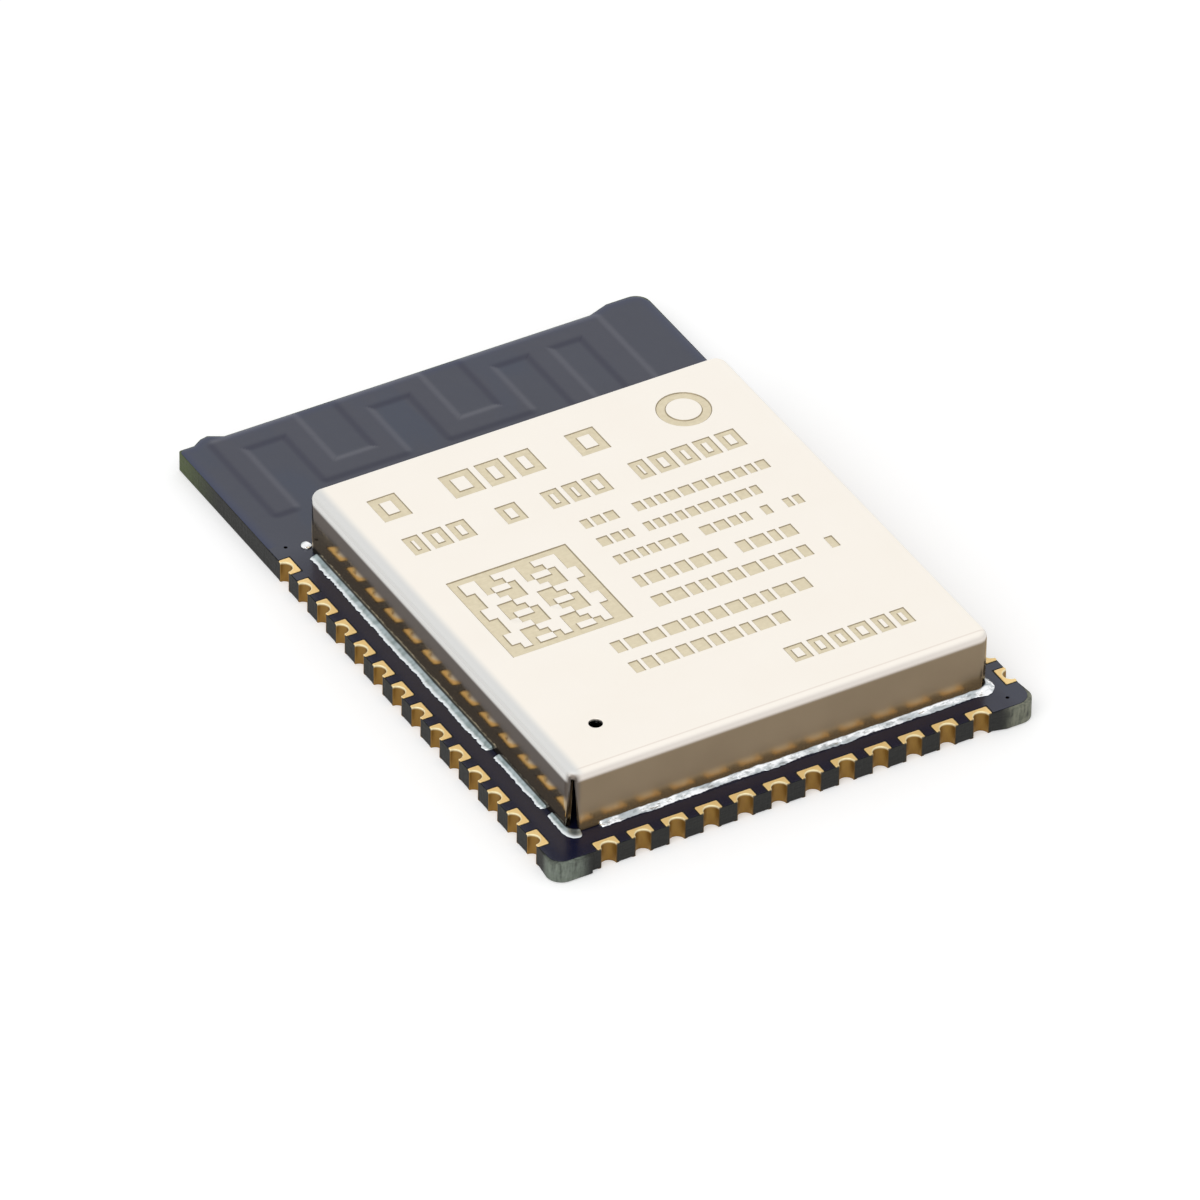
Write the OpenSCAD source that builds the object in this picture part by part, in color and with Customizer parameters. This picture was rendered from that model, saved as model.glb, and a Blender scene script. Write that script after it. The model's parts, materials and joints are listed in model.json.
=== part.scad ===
// Castellated radio module: a printed board with half-hole contacts along three edges, a printed
// antenna at its far end and a soldered shield can over the processor, memory and crystal.
// Lengths are in mm. Z points up, X runs across the board and Y points to the antenna end.
// The origin is the middle of the board's underside, and the contacts' lower lands lie on Z = 0.

/* [Board] */
// width of the board between its two long edges
board_width = 18; // [17.9:0.1:19]
// length of the board from its contact end to its antenna end
board_length = 25.5; // [25.3:0.1:27]
// thickness of the board over its copper
board_thick = 0.8; // [0.6:0.1:1.2]
// thickness of the copper on each side, with its gold finish
copper_thick = 0.04; // [0.03:0.005:0.05]
// thickness of the solder mask on bare laminate
mask_thick = 0.025; // [0.015:0.005:0.025]
// how far the broken-off panel tabs stand out of the two ends
tab_out = 0.13; // [0.05:0.01:0.2]
// how far the routed antenna edge lies inside the board's length
rear_cut = 0.15; // [0.05:0.01:0.2]
// radius of the board's rounded corners
board_corner = 0.55; // [0.4:0.05:0.7]
// diameter of the small plated holes
via_d = 0.2; // [0.15:0.05:0.3]

/* [Contacts] */
// number of contacts along each long edge
side_count = 14; // [10:1:14]
// number of contacts along the front edge
front_count = 12; // [8:1:12]
// distance from the front edge to the first side contact
first_contact = 1.5; // [1.4:0.05:1.8]
// distance from the last side contact to the antenna end, which leaves a pitch of 1.27
last_contact = 7.49; // [7.4:0.01:8.2]
// distance from each long edge to the nearest front contact, which leaves a pitch of 1.27
front_row_inset = 2.015; // [2:0.005:2.3]
// diameter of each plated half hole
hole_d = 0.55; // [0.45:0.05:0.6]
// thickness of the plating in the half holes
plating = 0.035; // [0.02:0.005:0.05]
// length of a land along the edge
land_width = 0.82; // [0.75:0.01:0.9]
// depth of an upper land from the edge
land_depth = 0.41; // [0.38:0.01:0.5]
// depth of a lower land from the edge
lower_land_depth = 0.85; // [0.6:0.05:0.9]
// gap between a land and the solder mask round it
mask_gap = 0.05; // [0.03:0.01:0.07]
// side of one square of the ground pad under the board
ground_square = 0.9; // [0.7:0.05:1.1]
// distance between neighbouring squares of the ground pad
ground_pitch = 1.4; // [1.3:0.05:1.5]

/* [Antenna] */
// width of the antenna's copper line
trace_width = 0.58; // [0.4:0.02:0.7]
// distance from the board's left edge to the antenna's open end
antenna_left_gap = 1.54; // [1.4:0.02:2]
// distance from the board's right edge to the antenna's wide leg
antenna_right_gap = 2.56; // [2:0.02:3]
// depth of the meander, from its outer bars to its inner bars
meander_depth = 3.4; // [3:0.1:3.6]
// length of the open end of the meander
open_length = 4.3; // [4:0.1:5]

/* [Shield can] */
// distance from each long edge of the board to the can, for a can in the middle
can_side_gap = 1.11; // [1.1:0.01:1.3]
// how far the can stands off the board's middle, towards +X
can_shift = 0.11; // [0:0.01:0.12]
// distance from the board's contact end to the can
can_front_gap = 1.13; // [1.05:0.01:1.3]
// length of the board behind the can, for the antenna
antenna_end = 6.82; // [6.6:0.02:7.4]
// height of the can above the board's copper
can_height = 2.3; // [2.2:0.05:3]
// thickness of the can's sheet metal
sheet = 0.2; // [0.15:0.01:0.2]
// outer radius of the bend round the can's top
bend_r = 0.3; // [0.25:0.01:0.35]
// outer radius of the can's upright corners
can_corner = 0.45; // [0.4:0.05:0.6]
// width of the open slit in each corner
slit_width = 0.2; // [0.1:0.02:0.26]
// diameter of the vent hole
vent_d = 0.48; // [0.3:0.02:0.7]
// width of the solder seam at the foot of the can
seam_width = 0.19; // [0.12:0.01:0.19]
// height of the solder seam up the can's wall
seam_height = 0.2; // [0.1:0.01:0.3]

/* [Parts under the can] */
// side of the processor's square package
processor_side = 7; // [6.4:0.1:7.2]
// height of the processor's package
processor_height = 0.85; // [0.7:0.05:1]
// height of the memory's moulded body
memory_height = 1.45; // [1.2:0.05:1.6]
// length of a chip part
chip_length = 1; // [0.9:0.02:1.1]
// width and height of a chip part
chip_width = 0.5; // [0.4:0.02:0.56]

/* [Hidden] */
$fn = 48;

half_w = board_width / 2;
half_l = board_length / 2;
front_y = -half_l;
rear_y = half_l - rear_cut;
core_z0 = copper_thick;
core_z1 = board_thick - copper_thick;
hole_r = hole_d / 2;
raised_mask_top = board_thick + 0.8 * mask_thick;
mask_inset = 0.03;

// the edges of the broken-off tabs, each as its distances from the nearer long side of the board
front_left_tab = [1.34, 1.42];
front_right_tab = [1.1, 1.6];
rear_left_tab = [0.6, 0.95, 1.25, 1.5, 1.75];
rear_right_tab = [1.4, 2.2];
sharp_corner = 0.1;

side_pitch = (board_length - first_contact - last_contact) / (side_count - 1);
front_pitch = (board_width - 2 * front_row_inset) / (front_count - 1);
side_row = [for (i = [0:side_count - 1]) front_y + first_contact + i * side_pitch];
front_row = [for (i = [0:front_count - 1]) front_row_inset - half_w + i * front_pitch];

can_x0 = can_side_gap + can_shift - half_w;
can_x1 = half_w - can_side_gap + can_shift;
can_y0 = front_y + can_front_gap;
can_y1 = half_l - antenna_end;
can_length = can_y1 - can_y0;
can_top = board_thick + can_height;
vent_inset = 2.12;
slit_stop = 0.02;
slit_top = can_top - sheet - slit_stop;
slit_flare = 0.25;
land_inside = 0.1;
dot_r = 0.19;
dot_pos = [can_x0 - 0.02, can_y1 + 0.01];

// the can's two long sides are soldered in runs, given as distances from its front
side_runs = [[can_corner, 1.2], [1.62, 4.68], [5.14, can_length - 0.65]];
front_seam_start = 1.1;
front_run = [can_x0 + front_seam_start, can_x1 - can_corner];
rear_seam_inset = 0.9;
rear_run = [can_x0 + rear_seam_inset, can_x1 - rear_seam_inset];

// the upright runs of the antenna: five of the meander, then the two legs
antenna_span = board_width - antenna_left_gap - antenna_right_gap;
meander_pitch = 0.1712 * antenna_span;
leg_pitch = 0.1576 * antenna_span;
run_x0 = antenna_left_gap - half_w + 4 * meander_pitch;
shoulder = 0.05;
antenna_rear_gap = 0.28;
bar_y1 = rear_y - antenna_rear_gap;
inner_bar_y0 = bar_y1 - meander_depth;
leg_can_gap = 0.2;
leg_y0 = can_y1 + seam_width + leg_can_gap;
leg_via_y = leg_y0 + trace_width / 2;
wide_leg = 1.45 * trace_width;
function run_x(i) = run_x0 + (i - 4) * (i < 5 ? meander_pitch : leg_pitch);
function run_width(i) = i == 6 ? wide_leg : trace_width;
function run_y0(i) = i == 0 ? bar_y1 - open_length : i < 5 ? inner_bar_y0 : leg_y0;

// each part keeps its share of the room under the can, and its size follows the side of the room
// that is tighter against the one it is drawn for
inner_width = can_x1 - can_x0 - 2 * sheet;
inner_length = can_length - 2 * sheet;
drawn_room = [15.38, 17.15];
part_scale = min(inner_width / drawn_room[0], inner_length / drawn_room[1]);
function in_x(share) = can_x0 + sheet + share * inner_width;
function in_y(share) = can_y0 + sheet + share * inner_length;

ground_x = in_x(0.3953);
ground_y = in_y(0.5224);
ground_steps = [-ground_pitch, 0, ground_pitch];

// the middles of the small plated holes: beside the dot, at the front right and one in each leg
vias = [
    [-half_w + 0.57, can_y1 + 0.28],
    [half_w - 0.74, front_y + 0.48],
    [run_x(5), leg_via_y],
    [run_x(6), leg_via_y]
];

package_side = processor_side * part_scale;
lead_width = 0.22 * part_scale;
lead_length = 0.4 * part_scale;
lead_thick = 0.2;
lead_count = 14;
lead_pitch = 0.4 * part_scale;
paddle_side = 4 * part_scale;
memory_x = in_x(0.8147);
memory_y = in_y(0.4);
memory_size = [4.9, 3.9] * part_scale;
memory_z0 = board_thick + 0.1;
memory_pitch = 1.27 * part_scale;
memory_lead_width = 0.4 * part_scale;
memory_lead_reach = 1.05 * part_scale;
memory_foot_y = 0.71 * memory_lead_reach;
memory_foot_length = 0.76 * memory_lead_reach;
crystal_x = in_x(0.818);
crystal_y = in_y(0.779);
crystal_size = [2.5, 2] * part_scale;
crystal_rim = 0.15 * part_scale;
crystal_base_height = 0.4;
crystal_lid_height = 0.25;
crystal_contact = [0.7, 0.6] * part_scale;
crystal_contact_thick = 0.03;
chip_size = [chip_length, chip_width] * part_scale;
chip_end = 0.22 * part_scale;
chip_land = 0.15 * part_scale;

// chip parts: name, kind, x, y and turn about Z
chips = concat(
    [for (i = [0:4]) [str("cap_", i + 1), "cap", in_x(0.077), in_y(0.866 - 0.14 * i), 90]],
    [for (i = [0:2]) [str("cap_", i + 6), "cap", in_x(0.22 + 0.156 * i), in_y(0.208), 0]],
    [for (i = [0:2]) [str("resistor_", i + 1), "resistor", in_x(0.22 + 0.156 * i), in_y(0.837), 0]],
    [for (i = [0:1]) [str("coil_", i + 1), "coil", in_x(0.701 + 0.091 * i), in_y(0.93), 90]]
);

// ---- helpers

function arc(x, y, r, a0, a1, steps = 8) =
    [for (i = [0:steps]) let (a = a0 + (a1 - a0) * i / steps) [x + r * cos(a), y + r * sin(a)]];

// The board's outline, drawn inside its true edge by "inset". The contact end has a broken tab at
// each corner, which stands out by "front_out", and the antenna end has one near each corner.
function board_outline(inset, front_out) =
    let (
        x = half_w - inset,
        side_x = x + front_out / 2,
        tab_y = front_y + inset - front_out,
        edge_y = front_y + inset,
        back_y = rear_y - inset,
        back_tab = half_l + tab_out - inset,
        r = board_corner - inset
    )
    concat(
        arc(-side_x + r, tab_y + r, r, 180, 270),
        [[front_left_tab[0] - half_w, tab_y], [front_left_tab[1] - half_w, edge_y]],
        [[half_w - front_right_tab[1], edge_y], [half_w - front_right_tab[0], tab_y]],
        arc(side_x - r, tab_y + r, r, 270, 360),
        [[x, front_y + 1], [x, back_tab - r]],
        arc(x - r, back_tab - r, r, 0, 90),
        [[x - rear_right_tab[0], back_tab], [x - rear_right_tab[1], back_y]],
        [[rear_left_tab[4] - half_w, back_y], [rear_left_tab[3] - half_w, (back_y + back_tab) / 2]],
        [[rear_left_tab[2] - half_w, back_tab], [rear_left_tab[1] - half_w, back_tab - board_corner / 9]],
        [[rear_left_tab[0] - half_w, back_y]],
        arc(sharp_corner - x, back_y - sharp_corner, sharp_corner, 90, 180, 3),
        [[-x, front_y + 1]]
    );

module block(x0, x1, y0, y1, z0, z1)
    translate([x0, y0, z0])
        cube([x1 - x0, y1 - y0, z1 - z0]);

module centred_block(x, y, size_x, size_y, z0, z1)
    block(x - size_x / 2, x + size_x / 2, y - size_y / 2, y + size_y / 2, z0, z1);

module post(x, y, r, z0, z1)
    translate([x, y, z0])
        cylinder(r = r, h = z1 - z0);

// puts what is drawn for an edge along X, with the board behind it at +Y, at every contact
module at_left()
    for (y = side_row)
        translate([-half_w, y, 0])
            rotate(-90)
                children();

module at_right()
    for (y = side_row)
        translate([half_w, y, 0])
            rotate(90)
                children();

module at_front()
    for (x = front_row)
        translate([x, front_y, 0])
            children();

module at_every_contact() {
    at_left() children();
    at_right() children();
    at_front() children();
}

// ---- board

module half_holes()
    at_every_contact()
        post(0, 0, hole_r + plating, -1, board_thick + 1);

module via_holes(r)
    for (v = vias)
        post(v[0], v[1], r, -1, board_thick + 1);

module board_core()
    color("#2f3a34")
        difference() {
            translate([0, 0, core_z0])
                linear_extrude(core_z1 - core_z0)
                    polygon(board_outline(0, tab_out));
            half_holes();
            via_holes(via_d / 2);
        }

module plated_vias()
    color("#c79a4a")
        difference() {
            for (v = vias)
                post(v[0], v[1], via_d / 2, core_z0, core_z1);
            via_holes(via_d / 2 - plating);
        }

// the copper of one side's antenna, grown by "grow" on every edge
module antenna_lines(grow, z0, z1) {
    for (i = [0:6])
        block(run_x(i) - run_width(i) / 2 - grow, run_x(i) + run_width(i) / 2 + grow,
              run_y0(i) - grow, bar_y1 + grow, z0, z1);
    for (ends = [[0, 1], [2, 3], [4, 6]])
        block(run_x(ends[0]), run_x(ends[1]), bar_y1 - trace_width - grow, bar_y1 + grow, z0, z1);
    for (ends = [[1, 2], [3, 4]])
        block(run_x(ends[0]), run_x(ends[1]), inner_bar_y0 - grow, inner_bar_y0 + trace_width + grow, z0, z1);
}

module antenna_trace()
    color("#b87a3c")
        difference() {
            antenna_lines(0, core_z1, board_thick);
            via_holes(via_d / 2 - plating);
        }

module contact_window(depth, z0, z1)
    block(-land_width / 2 - mask_gap, land_width / 2 + mask_gap, -1, depth + mask_gap, z0, z1);

module top_mask()
    color("#20222f")
        difference() {
            union() {
                translate([0, 0, core_z1])
                    linear_extrude(mask_thick)
                        polygon(board_outline(mask_inset, 0));
                antenna_lines(shoulder, core_z1, raised_mask_top);
            }
            antenna_lines(0, core_z1 - 1, board_thick);
            at_every_contact()
                contact_window(land_depth, core_z1 - 1, board_thick + 1);
            land_runs(core_z1 - 1, board_thick + 1);
            post(dot_pos[0], dot_pos[1], dot_r, core_z1 - 1, board_thick + 1);
            part_windows();
            via_holes(via_d / 2 - plating);
        }

module bottom_mask()
    color("#20222f")
        difference() {
            translate([0, 0, core_z0 - mask_thick])
                linear_extrude(mask_thick)
                    polygon(board_outline(mask_inset, 0));
            at_every_contact()
                contact_window(lower_land_depth, -1, core_z0 + 1);
            for (x = ground_steps)
                for (y = ground_steps)
                    centred_block(ground_x + x, ground_y + y, ground_square + 2 * mask_gap,
                                  ground_square + 2 * mask_gap, -1, core_z0 + 1);
        }

// ---- contacts

// one plated half hole with its upper and lower lands; the edge runs along X and the board is at +Y
module contact()
    difference() {
        union() {
            post(0, 0, hole_r + plating, 0, board_thick);
            block(-land_width / 2, land_width / 2, 0, land_depth, core_z1, board_thick);
            block(-land_width / 2, land_width / 2, 0, lower_land_depth, 0, core_z0);
        }
        post(0, 0, hole_r, -1, board_thick + 1);
        block(-1, 1, -1, 0, -1, board_thick + 1);
    }

module left_contacts()
    color("#e2bd73")
        at_left()
            contact();

module right_contacts()
    color("#e2bd73")
        at_right()
            contact();

module front_contacts()
    color("#e2bd73")
        at_front()
            contact();

module ground_pad()
    color("#e2bd73")
        for (x = ground_steps)
            for (y = ground_steps)
                centred_block(ground_x + x, ground_y + y, ground_square, ground_square, 0, core_z0);

// ---- can and its solder

// The can's walls carry a drawn profile along them: its x is the distance out of the wall and its
// y is the height. A run is straight, or a quarter turn round one of the can's corners.
module left_run(from, to)
    translate([can_x0, can_y0 + to, 0])
        mirror([1, 0, 0])
            rotate([90, 0, 0])
                linear_extrude(to - from)
                    children();

module right_run(from, to)
    translate([can_x1, can_y0 + to, 0])
        rotate([90, 0, 0])
            linear_extrude(to - from)
                children();

module front_wall_run(from, to)
    translate([from, can_y0, 0])
        mirror([0, 1, 0])
            rotate([90, 0, 90])
                linear_extrude(to - from)
                    children();

module rear_wall_run(from, to)
    translate([from, can_y1, 0])
        rotate([90, 0, 90])
            linear_extrude(to - from)
                children();

// corners 0 to 3 go round from the rear right one, so 2 is the front left and 3 the front right
module at_corner(i)
    translate([i == 0 || i == 3 ? can_x1 - can_corner : can_x0 + can_corner,
               i < 2 ? can_y1 - can_corner : can_y0 + can_corner, 0])
        rotate(90 * i)
            children();

module corner_run(i)
    at_corner(i)
        rotate_extrude(angle = 90)
            translate([can_corner, 0])
                children();

module seam_profile()
    polygon([
        [0, board_thick],
        [seam_width, board_thick],
        [seam_width * 0.95, board_thick + seam_height * 0.2],
        [seam_width * 0.5, board_thick + seam_height * 0.5],
        [0, board_thick + seam_height]
    ]);

module land_profile(z0, z1)
    translate([-sheet - land_inside, z0])
        square([sheet + land_inside + seam_width, z1 - z0]);

module land_runs(z0, z1) {
    for (run = side_runs) {
        left_run(run[0], run[1]) land_profile(z0, z1);
        right_run(run[0], run[1]) land_profile(z0, z1);
    }
    front_wall_run(front_run[0], front_run[1]) land_profile(z0, z1);
    rear_wall_run(rear_run[0], rear_run[1]) land_profile(z0, z1);
    corner_run(2) land_profile(z0, z1);
    corner_run(3) land_profile(z0, z1);
}

module shield_land()
    color("#c9a25a") {
        land_runs(core_z1, board_thick);
        post(dot_pos[0], dot_pos[1], dot_r, core_z1, board_thick);
    }

module solder_left(i)
    color("#b9c2c4")
        left_run(side_runs[i][0], side_runs[i][1])
            seam_profile();

module solder_right(i)
    color("#b9c2c4")
        right_run(side_runs[i][0], side_runs[i][1])
            seam_profile();

module solder_left_corner() {
    solder_left(0);
    color("#b9c2c4")
        corner_run(2)
            seam_profile();
}

module solder_front() {
    solder_right(0);
    color("#b9c2c4") {
        corner_run(3)
            seam_profile();
        front_wall_run(front_run[0], front_run[1])
            seam_profile();
    }
}

module solder_rear()
    color("#b9c2c4")
        rear_wall_run(rear_run[0], rear_run[1])
            seam_profile();

// a bead of solder on its own round land beside the can's corner
module solder_dot()
    color("#d5dadc")
        translate([dot_pos[0], dot_pos[1], board_thick])
            rotate_extrude()
                intersection() {
                    translate([0, -dot_r * 0.4])
                        circle(r = norm([1, 0.4]) * dot_r);
                    square([dot_r, dot_r]);
                }

// The can's sheet in section: the wall and the bend. Like every profile that follows the walls, its
// x is the distance out of the wall's outer face and its y is the height.
module sheet_section() {
    translate([-sheet, board_thick])
        square([sheet, can_height - bend_r]);
    translate([-bend_r, can_top - bend_r])
        intersection() {
            difference() {
                circle(r = bend_r);
                circle(r = bend_r - sheet);
            }
            square([bend_r, bend_r]);
        }
}

module can_walls() {
    left_run(can_corner, can_length - can_corner) sheet_section();
    right_run(can_corner, can_length - can_corner) sheet_section();
    front_wall_run(can_x0 + can_corner, can_x1 - can_corner) sheet_section();
    rear_wall_run(can_x0 + can_corner, can_x1 - can_corner) sheet_section();
    for (i = [0:3])
        corner_run(i) sheet_section();
}

// the flat of the can's top, out to where the bend starts
module can_flat() {
    foot = can_top - sheet;
    block(can_x0 + can_corner, can_x1 - can_corner, can_y0 + bend_r, can_y1 - bend_r, foot, can_top);
    block(can_x0 + bend_r, can_x1 - bend_r, can_y0 + can_corner, can_y1 - can_corner, foot, can_top);
    for (i = [0:3])
        at_corner(i)
            post(0, 0, can_corner - bend_r, foot, can_top);
}

// an open slit through one corner, cut straight out along X and flared at the board
module corner_slit()
    rotate([90, 0, 90])
        linear_extrude(1)
            difference() {
                union() {
                    translate([-slit_width / 2, board_thick - 1])
                        square([slit_width, slit_top - board_thick + 1]);
                    translate([-slit_width / 2 - slit_flare, board_thick - 1])
                        square([slit_width + 2 * slit_flare, slit_flare + 1]);
                }
                for (side = [-1, 1])
                    translate([side * (slit_width / 2 + slit_flare), board_thick + slit_flare])
                        circle(r = slit_flare);
            }

module shield_can()
    color("#d9d4ca")
        difference() {
            union() {
                can_walls();
                can_flat();
            }
            post(can_x0 + vent_inset, can_y0 + vent_inset, vent_d / 2, can_top - 1, can_top + 1);
            for (i = [0:3])
                at_corner(i)
                    rotate(45)
                        corner_slit();
        }

// ---- parts under the can

// the processor's leads, at the foot of its four sides and flush with them, "extra" longer outwards
module lead_row(extra, z0, z1)
    for (turn = [0:90:270])
        translate([ground_x, ground_y, 0])
            rotate(turn)
                for (i = [0:lead_count - 1])
                    centred_block(package_side / 2 - (lead_length - extra) / 2,
                                  (i - (lead_count - 1) / 2) * lead_pitch,
                                  lead_length + extra, lead_width, z0, z1);

module processor_leads()
    color("#c8cccd") {
        lead_row(0, board_thick, board_thick + lead_thick);
        centred_block(ground_x, ground_y, paddle_side, paddle_side, board_thick, board_thick + lead_thick);
    }

module processor_body()
    color("#1d1d1f")
        difference() {
            centred_block(ground_x, ground_y, package_side, package_side,
                          board_thick, board_thick + processor_height);
            lead_row(1, board_thick - 1, board_thick + lead_thick);
            centred_block(ground_x, ground_y, paddle_side, paddle_side,
                          board_thick - 1, board_thick + lead_thick);
        }

module memory_body()
    color("#232325")
        centred_block(memory_x, memory_y, memory_size[0], memory_size[1],
                      memory_z0, memory_z0 + memory_height);

// one bent lead: x is the distance out of the body's side and y is the height
module memory_lead_profile() {
    top = memory_z0 + memory_height / 2;
    polygon([
        [0, top],
        [0.43 * memory_lead_reach, top],
        [0.57 * memory_lead_reach, board_thick + lead_thick],
        [memory_lead_reach, board_thick + lead_thick],
        [memory_lead_reach, board_thick],
        [0.38 * memory_lead_reach, board_thick],
        [0.27 * memory_lead_reach, top - lead_thick],
        [0, top - lead_thick]
    ]);
}

module at_memory_leads()
    for (side = [0, 180])
        translate([memory_x, memory_y, 0])
            rotate(side)
                for (i = [-1.5:1:1.5])
                    translate([i * memory_pitch, memory_size[1] / 2, 0])
                        children();

module memory_leads()
    color("#c8cccd")
        at_memory_leads()
            translate([-memory_lead_width / 2, 0, 0])
                rotate([90, 0, 90])
                    linear_extrude(memory_lead_width)
                        memory_lead_profile();

module crystal_base()
    color("#cfc6b4")
        centred_block(crystal_x, crystal_y, crystal_size[0], crystal_size[1],
                      board_thick + crystal_contact_thick,
                      board_thick + crystal_contact_thick + crystal_base_height);

module crystal_lid() {
    foot = board_thick + crystal_contact_thick + crystal_base_height;
    color("#d8d8d6")
        centred_block(crystal_x, crystal_y,
                      crystal_size[0] - 2 * crystal_rim, crystal_size[1] - 2 * crystal_rim,
                      foot, foot + crystal_lid_height);
}

module crystal_feet(z0, z1)
    for (x = [-1, 1])
        for (y = [-1, 1])
            centred_block(crystal_x + x * (crystal_size[0] - crystal_contact[0]) / 2,
                          crystal_y + y * (crystal_size[1] - crystal_contact[1]) / 2,
                          crystal_contact[0], crystal_contact[1], z0, z1);

module crystal_contacts()
    color("#e2bd73")
        crystal_feet(board_thick, board_thick + crystal_contact_thick);

module at_chip(c)
    translate([c[2], c[3], 0])
        rotate(c[4])
            children();

module chip_body(c)
    color(c[1] == "cap" ? "#b59a78" : c[1] == "coil" ? "#dfe3e6" : "#1b1b1d")
        at_chip(c)
            centred_block(0, 0, chip_size[0] - 2 * chip_end, chip_size[1],
                          board_thick, board_thick + chip_size[1]);

module end_blocks(length, width, z0, z1)
    for (side = [-1, 1])
        centred_block(side * (chip_size[0] - chip_end) / 2, 0, length, width, z0, z1);

module chip_ends(c)
    color("#cfd2d3")
        at_chip(c)
            end_blocks(chip_end, chip_size[1], board_thick, board_thick + chip_size[1]);

// openings in the upper solder mask, one round each part
module part_windows() {
    z0 = core_z1 - 1;
    z1 = board_thick + 1;
    margin = 0.3;
    centred_block(ground_x, ground_y, package_side + 2 * margin, package_side + 2 * margin, z0, z1);
    at_memory_leads()
        centred_block(0, memory_foot_y, memory_lead_width + margin, 1, z0, z1);
    centred_block(crystal_x, crystal_y, crystal_size[0] + margin, crystal_size[1] + margin, z0, z1);
    for (c = chips)
        at_chip(c)
            centred_block(0, 0, chip_size[0] + 2 * margin, chip_size[1] + margin, z0, z1);
}

module inner_lands()
    color("#c9a25a") {
        lead_row(0.15, core_z1, board_thick);
        centred_block(ground_x, ground_y, paddle_side, paddle_side, core_z1, board_thick);
        at_memory_leads()
            centred_block(0, memory_foot_y, memory_lead_width, memory_foot_length, core_z1, board_thick);
        crystal_feet(core_z1, board_thick);
        for (c = chips)
            at_chip(c)
                end_blocks(chip_end + chip_land, chip_size[1], core_z1, board_thick);
    }

board_core();
top_mask();
bottom_mask();
left_contacts();
right_contacts();
front_contacts();
ground_pad();
antenna_trace();
plated_vias();
shield_land();
inner_lands();
shield_can();
solder_left(2);  // solder_left_rear
solder_left(1);  // solder_left_middle
solder_left_corner();
solder_front();
solder_right(1);  // solder_right_middle
solder_right(2);  // solder_right_rear
solder_rear();
solder_dot();
processor_body();
processor_leads();
memory_body();
memory_leads();
crystal_base();
crystal_lid();
crystal_contacts();
for (c = chips) {
    chip_body(c);
    chip_ends(c);
}
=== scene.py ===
import json
import math
import random

import bmesh
import bpy
from mathutils import Matrix, Vector, noise


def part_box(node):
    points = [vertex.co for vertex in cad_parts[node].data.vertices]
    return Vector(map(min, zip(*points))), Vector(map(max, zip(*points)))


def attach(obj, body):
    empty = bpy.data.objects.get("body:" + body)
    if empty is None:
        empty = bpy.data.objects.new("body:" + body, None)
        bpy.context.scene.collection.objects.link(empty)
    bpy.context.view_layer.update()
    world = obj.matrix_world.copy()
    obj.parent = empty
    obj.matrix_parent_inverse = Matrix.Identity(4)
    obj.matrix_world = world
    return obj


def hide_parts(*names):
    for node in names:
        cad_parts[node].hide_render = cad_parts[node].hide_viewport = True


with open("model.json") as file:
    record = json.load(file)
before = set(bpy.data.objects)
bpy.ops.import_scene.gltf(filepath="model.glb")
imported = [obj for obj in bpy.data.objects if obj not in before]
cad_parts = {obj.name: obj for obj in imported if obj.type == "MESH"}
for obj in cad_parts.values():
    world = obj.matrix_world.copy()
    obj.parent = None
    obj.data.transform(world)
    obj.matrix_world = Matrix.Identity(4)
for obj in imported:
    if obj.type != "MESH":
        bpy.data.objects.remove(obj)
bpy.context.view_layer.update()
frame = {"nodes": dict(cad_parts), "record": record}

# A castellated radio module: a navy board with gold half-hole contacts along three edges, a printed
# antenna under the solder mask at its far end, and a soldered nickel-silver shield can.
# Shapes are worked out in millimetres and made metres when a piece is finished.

MM = 0.001


def box(node):
    """The lowest and highest corner of a CAD node, in millimetres."""
    low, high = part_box(node)
    return low / MM, high / MM


can_low, can_high = box("shield_can")
core_low, core_high = box("board_core")
trace_low, trace_high = box("antenna_trace")
dot_low, dot_high = box("solder_dot")

can_size = can_high - can_low
board_top = box("shield_land")[1].z
mask_crest = box("top_mask")[1].z

# the stubs of the panel's tabs stand past the board's front edge
TAB_STUB = 0.13
front_edge = -core_low.y - TAB_STUB

# the can's upright corners, its top bend, and the trough that the press left behind that bend
CAN_CORNER = 0.45
BEND = 0.26
CREASE_GAP = 0.055
CREASE_HALF = 0.05
crease_line = can_low.y + BEND + CREASE_GAP

# distances that count as none: between worked-out points, cut points, and points to be merged
HAIR = 1e-4
NEAR = 1e-3
MERGE = 5e-4

# ---- shader values


class Signal:
    """A value that changes over a surface. Sums on signals add their own Math nodes."""

    def __init__(self, finish, socket):
        self.finish = finish
        self.socket = socket

    def work(self, operation, first, second):
        """One Math node on two numbers or signals."""
        return self.finish.node("ShaderNodeMath", {"operation": operation}, {0: first, 1: second})

    def __add__(self, other):
        return self.work("ADD", self, other)

    __radd__ = __add__

    def __sub__(self, other):
        return self.work("SUBTRACT", self, other)

    def __rsub__(self, other):
        return self.work("SUBTRACT", other, self)

    def __mul__(self, other):
        return self.work("MULTIPLY", self, other)

    __rmul__ = __mul__

    def __truediv__(self, other):
        return self.work("DIVIDE", self, other)

    def or_larger(self, other):
        return self.work("MAXIMUM", self, other)

    def without_sign(self):
        return self.work("ABSOLUTE", self, 0)


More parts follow.
